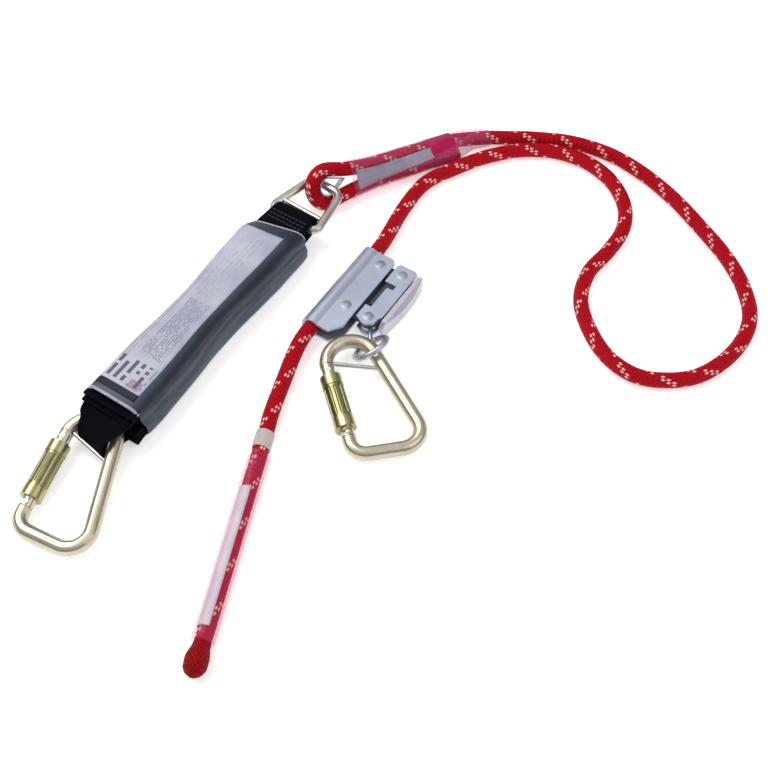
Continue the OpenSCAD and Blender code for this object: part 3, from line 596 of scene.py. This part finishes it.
taper = np.interp(spine_s, [0, 3, spine_s[-1] - 4, spine_s[-1]], [0.2, 0, 0, -0.35])
film = np.array([twin(rope_r + 0.85 + t, g, dip=min(1.6, 0.35 * g)) for t, g in zip(taper, half_gap)])
film_grid = wrinkle(sweep(spine_line, film, -twist), 0.35, 7.0, 1.7)
film_grid[..., 2] = np.maximum(film_grid[..., 2], 0.15)
eye_film = lattice("eye_clear_sleeve", film_grid, wrap=True)
thicken(eye_film, 0.5)
finish_with(eye_film, "clear")
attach(eye_film, "rope_assembly")
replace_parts(eye_film, "eye_sleeve")

pick = (spine_s > 2) & (spine_s < spine_s[-1] - 50)
strip_wide = np.interp(spine_s[pick], [2, spine_s[-1] - 50], [1.95, 1.5])
strip_outline = np.array([[(g * (1.1 - w * t), rope_r + 0.3 - 0.7 * math.sin(math.pi * t))
                           for t in np.linspace(0, 1, 9)] for g, w in zip(half_gap[pick], strip_wide)])
eye_strip = lattice("eye_label_strip", sweep(spine_line[pick], strip_outline, -twist[pick]))
thicken(eye_strip, 0.2)
finish_with(eye_strip, "eye_label")
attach(eye_strip, "rope_assembly")
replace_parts(eye_strip, "eye_label")


def winding(name, centre, axis, across, radius, long, turns, wire, gap=0.0, start=0.0):
    """Thread wound round one or two strands: a closed path stepping along the axis."""
    axis, across = unit(axis), unit(across)
    up = unit(np.cross(across, axis))
    n = int(turns * 40)
    points = []
    for i in range(n + 1):
        a = 2 * math.pi * i * turns / n + start
        x = math.cos(a)
        points.append(np.array(centre) + axis * long * (i / n - 0.5)
                      + across * (radius * x + gap * math.tanh(3 * x)) + up * radius * math.sin(a))
    points = np.array(points)
    t = tangents(points)
    out = points - (np.array(centre) + ((points - np.array(centre)) @ axis)[:, None] * axis)
    out /= np.linalg.norm(out, axis=1)[:, None]
    third = np.cross(t, out)
    ring = round_outline(wire / 2, 8)
    grid = points[:, None] + ring[None, :, :1] * out[:, None] + ring[None, :, 1:] * third[:, None]
    return lattice(name, grid, wrap=True, cap=True)


seam_mid, seam_axis = (spine[4] + spine[5]) / 2, unit(spine[5] - spine[4])
seam_across = side_of(math.atan2(seam_axis[1], seam_axis[0]), math.radians(14))
seam = winding("eye_seam_thread", seam_mid, seam_axis, seam_across, rope_r + 0.35, 22, 18, 1.25, gap=5.9)
finish_with(seam, "magenta")
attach(seam, "rope_assembly")
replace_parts(seam, "eye_stitching")

# ---------------------------------------------------------------- pieces on the tail
tail_axis = unit(tail_end - tail_top)
tail_side = unit(np.cross(tail_axis, Z))
tail_up = np.cross(tail_side, tail_axis)


def tail_grid(a0, a1, start, stop, radius, steps, rows=60, flat=1.0):
    """Part of a tube round the tail: angles in degrees from the side, 90 at the top."""
    angle = np.radians(np.linspace(a0, a1, steps))
    s = np.linspace(start, stop, rows)
    return (tail_top + s[:, None, None] * tail_axis
            + radius * (flat * np.cos(angle)[None, :, None] * tail_side
                        + np.sin(angle)[None, :, None] * tail_up))


end_film = wrinkle(tail_grid(0, 352, 20, 156, rope_r + 0.95, 32, 90, flat=1.14), 0.3, 6.0, 4.1)
end_film[..., 2] = np.maximum(end_film[..., 2], 0.15)
end_film = lattice("end_clear_sleeve", end_film, wrap=True)
thicken(end_film, 0.4)
finish_with(end_film, "clear_end")
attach(end_film, "rope_assembly")
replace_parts(end_film, "end_sleeve")
end_paper = lattice("end_label_strip", tail_grid(-25, 112, 48, 147, rope_r + 0.45, 14))
thicken(end_paper, 0.2)
finish_with(end_paper, "end_label")
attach(end_paper, "rope_assembly")
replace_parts(end_paper, "end_label")
whip = winding("end_whipping_thread", tail_top + tail_axis * 10.5, tail_axis, tail_side, rope_r + 0.4,
               13, 11, 1.15)
finish_with(whip, "whipping")
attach(whip, "rope_assembly")
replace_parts(whip, "end_whipping")

# The folded, sealed end: a knob with a drawn-in neck
knob_s = np.linspace(-5, 17.5, 40)
knob_r = np.interp(knob_s, [-5, -2, 0.5, 4, 8, 12, 15, 17, 17.5],
                   [5.6, 5.8, 6.5, 7.3, 7.4, 7.0, 5.2, 2.0, 0.3])
knob_grid = []
for s, r in zip(knob_s, knob_r):
    lift = np.interp(s, [-5, 2], [0.0, 1.2])
    centre = tail_end + tail_axis * s + np.array([0, 0, lift])
    row = []
    for a in np.linspace(0, 2 * math.pi, 36, endpoint=False):
        lumps = 0.25 * wobble((s, 10 * math.cos(a), 10 * math.sin(a)), 4, 8.2)
        rr = r * (1 + 0.035 * math.cos(2 * a + 0.6)) + lumps
        row.append(centre + rr * (math.cos(a) * tail_side + math.sin(a) * tail_up))
    knob_grid.append(row)
knob_grid = np.array(knob_grid)
knob_grid[..., 2] = np.maximum(knob_grid[..., 2], 0.1)
knob = lattice("rope_end_knob", knob_grid, wrap=True, cap=True,
               uv=(np.append(knob_s, knob_s[-1]) + 5, np.arange(37) / 36))
finish_with(knob, "knob")
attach(knob, "rope_assembly")
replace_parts(knob, "end_stop")

# ---------------------------------------------------------------- absorber pack
pack_w = 46.0


def pack_section(n=112):
    """The cover's cross-section from the middle of its base round to the base again: y, z pairs."""
    w, h = pack_w, pack_h
    half = [(0, 0), (w / 4, 0), (w / 2 - 3.2, 0.05), (w / 2 - 0.9, 2.2), (w / 2 - 0.1, 7), (w / 2, 13),
            (w / 2 - 0.7, 19), (w / 2 - 0.5, h - 11), (w / 2 - 1.3, h - 6.5), (w / 2 - 3.4, h - 2.4),
            (w / 2 - 6.8, h - 0.3), (w / 4, h),
            (0, h)]
    ring = half + [(-y, z) for y, z in half[-2:0:-1]]
    ring = np.array(ring + [ring[0]])
    s = np.concatenate([[0], np.cumsum(np.linalg.norm(np.diff(ring, axis=0), axis=1))])
    t = np.linspace(0, s[-1], n, endpoint=False)
    out = np.stack([np.interp(t, s, ring[:, 0]), np.interp(t, s, ring[:, 1])], 1)
    for _ in range(2):
        out = (np.roll(out, 1, 0) + 2 * out + np.roll(out, -1, 0)) / 4
    return out


# The upper end runs back on its left side, and the lower end leans in towards its top
end_skew, end_slant = 10.0, 3.0
# The lower end runs back on its right side, down at the floor
low_skew = 9.0


def waist(x):
    return 3.4 * np.exp(-(x / 38.0) ** 2)


section = pack_section()
xs = np.concatenate([[-96.5, -96.1], np.linspace(-95, 95, 128), [96.1, 96.5]])
cover_grid = np.zeros((len(xs), len(section), 3))
for i, x in enumerate(xs):
    end = max(0.0, abs(x) - 88) / 8.5
    for j, (y, z) in enumerate(section):
        k = (pack_w / 2 - waist(x)) / (pack_w / 2)
        yy, zz = y * k, z
        on_side = min(1.0, max(0.0, abs(y) - 14) / 6)
        ridge = 0.1 * math.sin(z * 2 * math.pi / 5.6) * on_side
        fold = 1.1 * wobble((x * 0.35, z * 1.3, 3.0 * (1 if y > 0 else -1)), 7.0, 5.5)
        crease = 0.9 * math.exp(-((z - 21 - 3 * math.sin(x / 30)) / 3.2) ** 2) * on_side
        push = (ridge + fold * 0.7 - crease)
        n = unit((yy, (zz - pack_h / 2) * 1.6))
        top = max(0.0, (z - 26) / 9)
        yy += n[0] * push * (1 - 0.6 * top)
        zz += n[1] * (push * 0.35) * (1 if z > 3 else 0)
        zz += top * 0.5 * wobble((x, y, 0), 26, 2.2)
        yy *= 1 - 0.035 * end ** 2
        zz *= 1 - 0.2 * min(1.0, max(0.0, (x - 78) / 18.5))
        far, near = max(0.0, (x - 50) / 46.5), max(0.0, (-76 - x) / 20.5)
        place = x - end_skew * (yy / pack_w + 0.5) * far ** 2 + end_slant * near * zz / pack_h
        place += low_skew * near * max(0.0, -yy) / pack_w * (1 - min(1.0, zz / pack_h)) * 2
        cover_grid[i, j] = (place, yy, max(0.0, zz))
cover = lattice("shrink_film_cover", in_pack(cover_grid), wrap=True)
thicken(cover, 0.9, -1.0)
finish_with(cover, "film")
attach(cover, "absorber")
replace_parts(cover, "absorber_cover")


def rim(name, row, wire):
    """The rolled, lighter cut edge of the film along the top of one mouth."""
    ring = cover_grid[row].copy()
    m = ring.mean(0)
    ring = m + (ring - m) * 0.985
    ring = ring[np.nonzero(ring[:, 2] > 0.8 * ring[:, 2].max())[0]]
    nxt = np.gradient(ring, axis=0)
    nxt /= np.linalg.norm(nxt, axis=1)[:, None]
    along = np.array([1.0, 0, 0])
    out = np.cross(nxt, along)
    circle = round_outline(1.0, 8)
    grid = (ring[:, None] + wire * circle[None, :, :1] * out[:, None]
            + wire * 1.2 * circle[None, :, 1:] * along)
    obj = lattice(name, in_pack(grid), wrap=True, cap=True)
    finish_with(obj, "film_edge")
    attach(obj, "absorber")
    return obj


rim("film_edge_lower", 1, 1.0)
rim("film_edge_upper", -2, 0.7)


def over_film(x, across, lift):
    """A place just off the film, at x and a distance across from the middle of its top."""
    i = int(np.clip(np.searchsorted(xs, x), 1, len(xs) - 1))
    w = (x - xs[i - 1]) / (xs[i] - xs[i - 1])
    quarter = len(section) // 4
    half = (cover_grid[i - 1] * (1 - w) + cover_grid[i] * w)[quarter: 3 * quarter + 1]
    s = np.concatenate([[0], np.cumsum(np.linalg.norm(np.diff(half[:, 1:], axis=0), axis=1))])
    at = s[quarter] - across
    spot, after, before = (np.array([np.interp(at + d, s, half[:, k]) for k in range(3)])
                           for d in (0, 1.0, -1.0))
    run = unit((after - before)[1:])
    return spot + lift * np.array([0, -run[1], run[0]]) * (1 if run[0] > 0 else -1)


label_ends, label_mid, label_half, label_lift = (-90.5, 80.5), 2.6, 17.2, 0.2
label_x = np.linspace(*label_ends, 90)
label_grid = []
for x in label_x:
    reach = label_half - 0.55 * float(waist(x))
    label_grid.append([over_film(x, label_mid + t * reach, label_lift) for t in np.linspace(-1, 1, 25)])
label_grid = np.array(label_grid)
label = lattice("absorber_label_sheet", in_pack(label_grid),
                uv=(np.append(label_x - label_x[0], 0), np.linspace(0, 32, 25)))
thicken(label, 0.18, 1.0)
finish_with(label, "label")
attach(label, "absorber")
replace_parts(label, "absorber_label")


def ribbon(name, centre, widths, thick, key="webbing", columns=13, sag=0.0, edge=0.35, shear=None):
    """Webbing along a path in the pack's XZ plane: pairs x, z, with its width at each."""
    c = np.array(centre, float)
    line, s = smooth_path(np.stack([c[:, 0], np.zeros(len(c)), c[:, 1]], 1), 1.2)
    source = np.concatenate([[0], np.cumsum(np.linalg.norm(np.diff(c, axis=0), axis=1))])
    w = np.interp(s / s[-1], source / source[-1], widths)
    t = tangents(line)
    normal = np.stack([-t[:, 2], np.zeros(len(t)), t[:, 0]], 1)
    grid = []
    for i in range(len(line)):
        row = []
        for q in np.linspace(-1, 1, columns):
            bend = sag * q * q + edge * max(0, abs(q) - 0.85) / 0.15 * 0.3
            wave = 0.25 * wobble((s[i], q * 14, 1.0), 9, 3.3)
            y = q * w[i] / 2
            lean = y * shear(line[i][0]) if shear else 0.0
            row.append(line[i] + np.array([lean, y, 0]) - normal[i] * bend + normal[i] * wave)
        grid.append(row)
    across = np.linspace(-w.mean() / 2, w.mean() / 2, columns)
    obj = lattice(name, in_pack(np.array(grid)), uv=(np.append(s, s[-1]), across))
    thicken(obj, thick, 0.0)
    rounded(obj, 0.5)
    finish_with(obj, key)
    return obj


# Tear webbing folded to and fro in one strip
fold_path = []
for i in range(10):
    z = 3.6 + i * 2.95
    a, b = (-86, 74) if i % 2 == 0 else (74, -86)
    fold_path += [(a, z), (a + (b - a) * 0.25, z), (a + (b - a) * 0.5, z), (a + (b - a) * 0.75, z), (b, z)]
    if i < 9:
        fold_path.append((b + (1.6 if b > 0 else -1.6), z + 1.475))
tear = ribbon("tear_webbing_strip", fold_path, [34] * len(fold_path), 2.0)
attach(tear, "absorber")
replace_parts(tear, "tear_webbing")

# Upper loop, round the link's webbing bar
r_up, z_up = 5.3, 18.2
up_path = [(80, z_up + r_up), (92, z_up + r_up), (104, z_up + r_up), (110, z_up + r_up)]
up_path += [(112.2 + r_up * math.sin(a), z_up + r_up * math.cos(a))
            for a in np.radians((20, 50, 80, 100, 130, 160))]
up_path += [(110, z_up - r_up), (104, z_up - r_up), (92, z_up - r_up), (80, z_up - r_up)]
upper = ribbon("upper_webbing_loop", up_path, [38, 37, 35, 34] + [32] * 6 + [34, 35, 37, 38], 2.4)
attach(upper, "absorber")
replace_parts(upper, "upper_loop")

# Lower loop: wide out of the cover, draped over the captive end and turned under before its pin
low_z, low_r = 13.6, 8.6
low_path = [(-80, low_z + low_r + 1.0), (-89, low_z + low_r + 1.6), (-96, low_z + low_r + 1.4),
            (-103, low_z + low_r + 1.0), (-108, low_z + low_r + 0.4), (-111, low_z + low_r - 0.4)]
low_path += [(-111.2 - low_r * 0.92 * math.sin(a), low_z + low_r * math.cos(a))
             for a in np.radians((30, 60, 90, 120, 150))]
low_path += [(-110, low_z - low_r + 0.3), (-104, low_z - low_r), (-97, low_z - low_r),
             (-90, low_z - low_r + 0.5), (-80, low_z - low_r + 1)]
low_w = [40, 40, 39, 37, 34, 30, 26, 23, 21.5, 21, 21, 22, 24, 28, 34, 38]
pin_slope, pin_from = 0.17, -106.0
lower = ribbon("lower_webbing_loop", low_path, low_w, 2.4, sag=1.6,
               shear=lambda x: pin_slope * min(1.0, max(0.0, (pin_from - x) / 8)))
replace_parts(lower, "lower_loop")
tuple(in_pack((-95, 0, 13)) * MM)
tuple(in_pack((-106, 0, 13)) * MM)
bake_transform(lower)

# Ends of the webbing stack in the lower mouth
stack = []
layers = ((3.2, -99.5, 42), (7.2, -101.0, 41), (11.4, -99.0, 40), (26.2, -101.5, 41), (29.6, -98.5, 42))
for k, (z, reach, width) in enumerate(layers):
    layer_path = [(-74, z), (-84, z), (-93, z), (reach, z - 0.3)]
    layer = ribbon(f"webbing_layer_{k}", layer_path, [40, 40, 41, width], 2.4,
                   sag=0.4)
    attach(layer, "absorber")
    stack.append(layer)


def stitches(name, x0, x1, width, heights, rows, long, wire=0.75):
    """Rows of thread across the webbing, each a run of short raised stitches."""
    grids = []
    for r in range(rows):
        x = x0 + (x1 - x0) * r / max(rows - 1, 1)
        n = int(width / long)
        for i in range(n):
            y0 = -width / 2 + (i + 0.14) * width / n
            y1 = -width / 2 + (i + 0.86) * width / n
            line = [(x, y0 + (y1 - y0) * t, heights + 0.42 * math.sin(math.pi * t) ** 0.5) for t in
                    np.linspace(0, 1, 7)]
            grids.append(np.array(line))
    pieces = []
    for k, line in enumerate(grids):
        tube = in_pack(sweep(line, round_outline(wire / 2, 6)))
        pieces.append(lattice(f"{name}_{k}", tube, wrap=True, cap=True))
    base = pieces[0]
    with bpy.context.temp_override(active_object=base, selected_editable_objects=pieces, object=base,
                                   selected_objects=pieces):
        bpy.ops.object.join()
    base.name = name
    finish_with(base, "stitch")
    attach(base, "absorber")
    return base


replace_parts(stitches("upper_seam", 99, 106, 30, z_up + r_up + 1.25, 3, 3.2), "upper_stitching")
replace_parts(stitches("lower_seam", -98.5, -100.5, 30, low_z + low_r + 1.9, 2, 3.2), "lower_stitching")

# ---------------------------------------------------------------- floor and light
floor_mesh = bpy.data.meshes.new("floor")
floor_half, floor_z = 6, -0.0002
corners = ((-1, -1), (1, -1), (1, 1), (-1, 1))
floor_mesh.from_pydata([(x * floor_half, y * floor_half, floor_z) for x, y in corners], [], [(0, 1, 2, 3)])
floor = bpy.data.objects.new("floor", floor_mesh)
bpy.context.scene.collection.objects.link(floor)
floor_finish = Finish("floor", (0.94, 0.94, 0.94), 0.0, 0.9, Specular_IOR_Level=0.0)
floor_finish.set("Emission Color", (1, 1, 1, 1))
floor_finish.set("Emission Strength", 0.45)
floor_mesh.materials.append(floor_finish.mat)

# A bright ceiling over a darker horizon
world = bpy.data.worlds.new("world")
bpy.context.scene.world = world
world.use_nodes = True
sky = world.node_tree
level = sky.nodes.new("ShaderNodeSeparateXYZ")
sky.links.new(sky.nodes.new("ShaderNodeTexCoord").outputs["Generated"], level.inputs[0])
glow = sky.nodes.new("ShaderNodeMapRange")
sky.links.new(level.outputs[2], glow.inputs[0])
glow.inputs[1].default_value, glow.inputs[2].default_value = 0.15, 0.9
glow.inputs[3].default_value, glow.inputs[4].default_value = 0.10, 0.74
sky.links.new(glow.outputs[0], sky.nodes["Background"].inputs[1])
sky.nodes["Background"].inputs[0].default_value = (1, 1, 1, 1)


def area_light(name, at, aim, size, power, color=(1, 1, 1)):
    data = bpy.data.lights.new(name, "AREA")
    data.shape = "RECTANGLE"
    data.size, data.size_y = size
    data.energy = power
    data.color = color
    obj = bpy.data.objects.new(name, data)
    obj.location = at
    obj.rotation_euler = (Vector(aim) - Vector(at)).to_track_quat("-Z", "Y").to_euler()
    bpy.context.scene.collection.objects.link(obj)


area_light("key", (-0.7, 0.5, 1.5), (0.1, 0.0, 0), (1.4, 1.0), 18)
area_light("fill", (1.3, -0.6, 1.2), (0.1, 0.0, 0), (1.2, 1.2), 6)
bpy.context.scene.view_settings.view_transform = "Standard"
